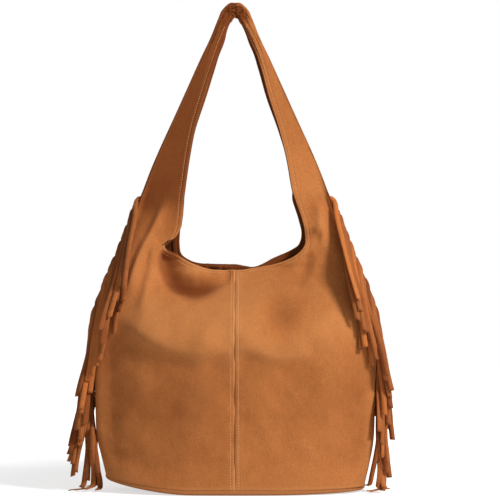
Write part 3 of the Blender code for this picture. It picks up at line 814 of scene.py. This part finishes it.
def tab(name, face, materials):
    """A tab with a round end that hangs inside the rim and carries one half of the snap."""
    half, length, thickness = 11.0, 34.0, 1.4
    top = RIM_HEIGHT - 3.0
    y = face * (2.2 + 0.3 + thickness / 2)
    points, faces = [], []
    rows = 24
    for r in range(rows + 1):
        z = top - length * r / rows
        below = max((top - z) - (length - half), 0.0)
        wide = math.sqrt(max(half**2 - below**2, 0.3))
        for place in np.linspace(-1.0, 1.0, 9):
            points.append((wide * place, y + face * 0.25 * (place**2), z))
    for r in range(rows):
        for c in range(8):
            a = r * 9 + c
            faces.append((a, a + 1, a + 10, a + 9))
    return mesh_object(name, np.array(points), faces, materials, thickness)


# Materials

def linear(hex_colour):
    """An sRGB hex colour as the linear values that shaders take."""
    parts = [int(hex_colour[i : i + 2], 16) / 255.0 for i in (1, 3, 5)]
    return tuple(p / 12.92 if p <= 0.04045 else ((p + 0.055) / 1.055) ** 2.4 for p in parts) + (1.0,)


def shader_tree(name):
    material = bpy.data.materials.new(name)
    material.use_nodes = True
    tree = material.node_tree
    tree.nodes.clear()
    return material, tree


def mix_colours(tree, share, first, second):
    node = add_node(tree, "ShaderNodeMix", {"Factor": share}, data_type="RGBA")
    for key, value in ((6, first), (7, second)):
        if isinstance(value, bpy.types.NodeSocket):
            tree.links.new(value, node.inputs[key])
        else:
            node.inputs[key].default_value = value
    return node.outputs[2]


def spread(tree, value, low, high, out_low=0.0, out_high=1.0):
    """The value stretched so that low to high becomes out_low to out_high."""
    node = add_node(
        tree, "ShaderNodeMapRange",
        {"Value": value, "From Min": low, "From Max": high, "To Min": out_low, "To Max": out_high},
    )
    return node.outputs["Result"]


def noise(tree, place, millimetres, detail=3.0, roughness=0.6):
    """Noise whose patches are about that many millimetres across."""
    node = add_node(
        tree, "ShaderNodeTexNoise",
        {"Vector": place, "Scale": 1000.0 / millimetres, "Detail": detail, "Roughness": roughness},
    )
    return node.outputs["Fac"]


def suede(name, light, mid, dark, tone=None, nap_and_painted_shade=1.0):
    """Split leather with a brushed nap: matt, cloudy where it was stroked, speckled by its short fibres,
    with a soft bloom of sheen where the fibres stand at the edge of a fold."""
    material, tree = shader_tree(name)
    place = add_node(tree, "ShaderNodeTexCoord").outputs["Object"]
    clouds = noise(tree, place, 70.0, 4.0, 0.55)
    stroke_map = add_node(tree, "ShaderNodeMapping", {"Vector": place, "Scale": (1.0, 1.0, 0.45)})
    strokes = noise(tree, stroke_map.outputs["Vector"], 9.0, 6.0, 0.75)
    # Fibre clumps are 0.3 mm; 1.6 mm is the finest that shows at this size
    fibres = noise(tree, place, 1.6, 3.0, 0.7)
    colour = mix_colours(tree, spread(tree, clouds, 0.22, 0.78), linear(dark), linear(mid))
    colour = mix_colours(tree, spread(tree, strokes, 0.35, 0.80, 0.0, 0.45), colour, linear(light))
    if tone:
        shades = add_node(tree, "ShaderNodeAttribute", attribute_name=tone).outputs["Fac"]
        colour = mix_colours(tree, spread(tree, shades, 0.0, -1.8, 0.0, 0.7), colour, linear("#75381a"))
        colour = mix_colours(tree, spread(tree, shades, 0.0, 2.4, 0.0, 1.0), colour, linear("#d0783c"))
    speck = spread(tree, fibres, 0.3, 0.7, 0.80, 1.16)
    speckled = add_node(
        tree, "ShaderNodeHueSaturation", {"Color": colour, "Value": speck, "Saturation": 1.0}
    ).outputs["Color"]
    # The argument here only scales the bumps of the fibres and the strokes.
    bump = add_node(tree, "ShaderNodeBump", {"Height": fibres, "Strength": 0.45 * nap_and_painted_shade, "Distance": 0.0005})
    rough = add_node(
        tree, "ShaderNodeBump",
        {"Height": strokes, "Strength": 0.35 * nap_and_painted_shade, "Distance": 0.0012, "Normal": bump.outputs["Normal"]},
    )
    shader = add_node(
        tree, "ShaderNodeBsdfPrincipled",
        {
            "Base Color": speckled, "Roughness": 0.95, "Normal": rough.outputs["Normal"],
            "Specular IOR Level": 0.12, "Sheen Weight": 0.35, "Sheen Roughness": 0.45,
            "Sheen Tint": linear("#f0b07c"),
        },
    )
    add_node(tree, "ShaderNodeOutputMaterial", {"Surface": shader.outputs["BSDF"]})
    return material


def panel_suede():
    """The panels' suede, its turned edge paler, partly rubbed and partly a painted highlight, with painted light and
    shade laid on through a point attribute.
    """
    material = suede("tan_split_suede", "#cf884c", "#bf7540", "#b26a37")
    tree = material.node_tree
    shader = next(n for n in tree.nodes if n.bl_idname == "ShaderNodeBsdfPrincipled")
    colour = shader.inputs["Base Color"].links[0].from_socket
    edge = add_node(tree, "ShaderNodeAttribute", attribute_name="from_edge").outputs["Fac"]
    # Paler along the turned edge: partly rubbed suede, partly a painted highlight where the edge catches the light.
    colour = mix_colours(tree, spread(tree, edge, 0.0, 1.6, 0.5, 0.0), colour, linear("#dc9a62"))
    # Painted shade, dark and saturated, where the attribute is below 0; painted highlight, pale, where it is above 0.
    nap_and_painted_shade_values = add_node(tree, "ShaderNodeAttribute", attribute_name="nap_and_painted_shade").outputs["Fac"]
    colour = mix_colours(tree, spread(tree, nap_and_painted_shade_values, 0.0, -1.2, 0.0, 0.85), colour, linear("#662b0b"))
    colour = mix_colours(tree, spread(tree, nap_and_painted_shade_values, 0.0, 1.2, 0.0, 0.6), colour, linear("#dc9a5e"))
    tree.links.new(colour, shader.inputs["Base Color"])
    return material


def polyester_thread():
    """Bonded polyester sewing thread, twisted and slightly shiny, a little paler than the suede."""
    material, tree = shader_tree("tan_polyester_thread")
    place = add_node(tree, "ShaderNodeTexCoord").outputs["Object"]
    ply = noise(tree, place, 0.5, 1.0)
    bump = add_node(tree, "ShaderNodeBump", {"Height": ply, "Strength": 0.3, "Distance": 0.0001})
    colour = mix_colours(tree, ply, linear("#d39a66"), linear("#e6b585"))
    shader = add_node(
        tree, "ShaderNodeBsdfPrincipled",
        {"Base Color": colour, "Roughness": 0.6, "Normal": bump.outputs["Normal"], "Specular IOR Level": 0.4},
    )
    add_node(tree, "ShaderNodeOutputMaterial", {"Surface": shader.outputs["BSDF"]})
    return material


def nickel_plate():
    """Nickel-plated steel, stamped and barrel polished: soft reflections with fine handling scratches."""
    material, tree = shader_tree("satin_nickel_plate")
    place = add_node(tree, "ShaderNodeTexCoord").outputs["Object"]
    scratches = noise(tree, place, 1.2, 6.0, 0.8)
    rough = spread(tree, scratches, 0.3, 0.7, 0.26, 0.42)
    bump = add_node(tree, "ShaderNodeBump", {"Height": scratches, "Strength": 0.1, "Distance": 0.0001})
    shader = add_node(
        tree, "ShaderNodeBsdfPrincipled",
        {
            "Base Color": linear("#c9c4ba"), "Metallic": 1.0, "Roughness": rough,
            "Normal": bump.outputs["Normal"],
        },
    )
    add_node(tree, "ShaderNodeOutputMaterial", {"Surface": shader.outputs["BSDF"]})
    return material


# Studio

def seen_directly(tree):
    """1 for what the camera, a reflection or a transmission sees, 0 for the light on the object."""
    path = add_node(tree, "ShaderNodeLightPath")
    seen = path.outputs["Is Camera Ray"]
    for other in ("Is Glossy Ray", "Is Transmission Ray"):
        seen = add_node(tree, "ShaderNodeMath", {0: seen, 1: path.outputs[other]}, operation="MAXIMUM").outputs[0]
    return seen


def studio():
    scene = bpy.context.scene
    scene.view_settings.view_transform = "Standard"
    world = bpy.data.worlds.new("studio")
    scene.world = world
    world.use_nodes = True
    tree = world.node_tree
    tree.nodes.clear()
    strength = spread(tree, seen_directly(tree), 0.0, 1.0, ROOM_LIGHT, 1.0)
    sky = add_node(tree, "ShaderNodeBackground", {"Color": (1.0, 1.0, 1.0, 1.0), "Strength": strength})
    add_node(tree, "ShaderNodeOutputWorld", {"Surface": sky.outputs["Background"]})

    bpy.ops.mesh.primitive_grid_add(x_subdivisions=2, y_subdivisions=2, size=8.0, location=(0, 0, -0.0005))
    floor = bpy.context.object
    floor.name = "studio_floor"
    material, tree = shader_tree("white_paper_floor")
    paper = add_node(tree, "ShaderNodeBsdfDiffuse", {"Color": (0.8, 0.8, 0.8, 1.0)})
    place = add_node(tree, "ShaderNodeTexCoord").outputs["Object"]
    away = add_node(tree, "ShaderNodeVectorMath", {0: place}, operation="LENGTH").outputs["Value"]
    near_glow = spread(tree, away, 0.35, 1.1, FLOOR_GLOW, 1.0)
    lift = add_node(
        tree, "ShaderNodeMath", {0: seen_directly(tree), 1: near_glow}, operation="MULTIPLY"
    ).outputs[0]
    glow = add_node(tree, "ShaderNodeEmission", {"Color": (1.0, 1.0, 1.0, 1.0), "Strength": lift})
    both = add_node(tree, "ShaderNodeAddShader", {0: paper.outputs[0], 1: glow.outputs[0]})
    add_node(tree, "ShaderNodeOutputMaterial", {"Surface": both.outputs[0]})
    floor.data.materials.append(material)

    lamp("key", (1.62, -1.50, 1.62), (0.0, 0.0, 0.24), 0.60, 57.0)
    lamp("fill", (0.3, -2.2, 0.7), (0.0, 0.0, 0.25), 1.2, 3.5)

    camera = bpy.data.cameras.new("camera")
    camera.lens, camera.sensor_width = 106.6, 36.0
    camera.clip_start, camera.clip_end = 0.1, 50.0
    camera.shift_y = 0.110
    viewer = bpy.data.objects.new("camera", camera)
    scene.collection.objects.link(viewer)
    viewer.location = (0.020, -2.0, 0.250)
    viewer.rotation_euler = (math.radians(90.0), 0.0, 0.0)
    scene.camera = viewer


def lamp(name, place, target, size, power):
    light = bpy.data.lights.new(name, "AREA")
    light.shape = "DISK"
    light.size = size
    light.energy = power
    item = bpy.data.objects.new(name, light)
    bpy.context.scene.collection.objects.link(item)
    item.location = place
    item.rotation_euler = (Vector(target) - Vector(place)).to_track_quat("-Z", "Y").to_euler()


# The bag

def build():
    suede_face = panel_suede()
    # The flesh side: its own darker brown, darkened further as painted shade for the inside of the bag.
    suede_flesh = suede("flesh_side_suede", "#6e3a1e", "#5a2c14", "#46200e")
    fringe_face = suede("fringe_suede", "#cd8549", "#ae6433", "#95502a", tone="tone")
    thread = polyester_thread()
    nickel = nickel_plate()
    tree = stitch_tree(thread)
    studio()

    made = {}
    for side, side_name in ((LEFT, "left"), (RIGHT, "right")):
        for face, face_name in ((FRONT, "front"), (BACK, "back")):
            node = f"{face_name}_panel_{side_name}"
            item, rows, area = panel(node + "_suede", side, face, [suede_face, suede_flesh])
            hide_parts(node)
            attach(item, "root")
            threads = []
            for place, row, sizes in zip(("seam", "edge"), rows, (SEAM_STITCH, EDGE_STITCH)):
                sewn = stitches(f"{face_name}_{place}_stitches_{side_name}", [row], tree, thread, sizes)
                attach(sewn, "root")
                threads.append(sewn)
            made[node] = (item, area, threads)
        item, area = fringe(f"fringe_{side_name}_strips", side, [fringe_face])
        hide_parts(f"fringe_{side_name}")
        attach(item, "root")
        made["fringe_" + side_name] = (item, area)

    bottom, area = base([suede_face])
    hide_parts("base_panel")
    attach(bottom, "root")

    for face, face_name in ((FRONT, "front"), (BACK, "back")):
        item = tab(f"closure_tab_{face_name}_suede", face, [fringe_face])
        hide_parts(f"closure_tab_{face_name}")
        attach(item, "root")

    for node in ("snap_socket", "snap_stud"):
        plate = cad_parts[node]
        plate.data.materials.clear()
        plate.data.materials.append(nickel)

    for node, values in made.items():
        item, area = values[0], values[1]


build()
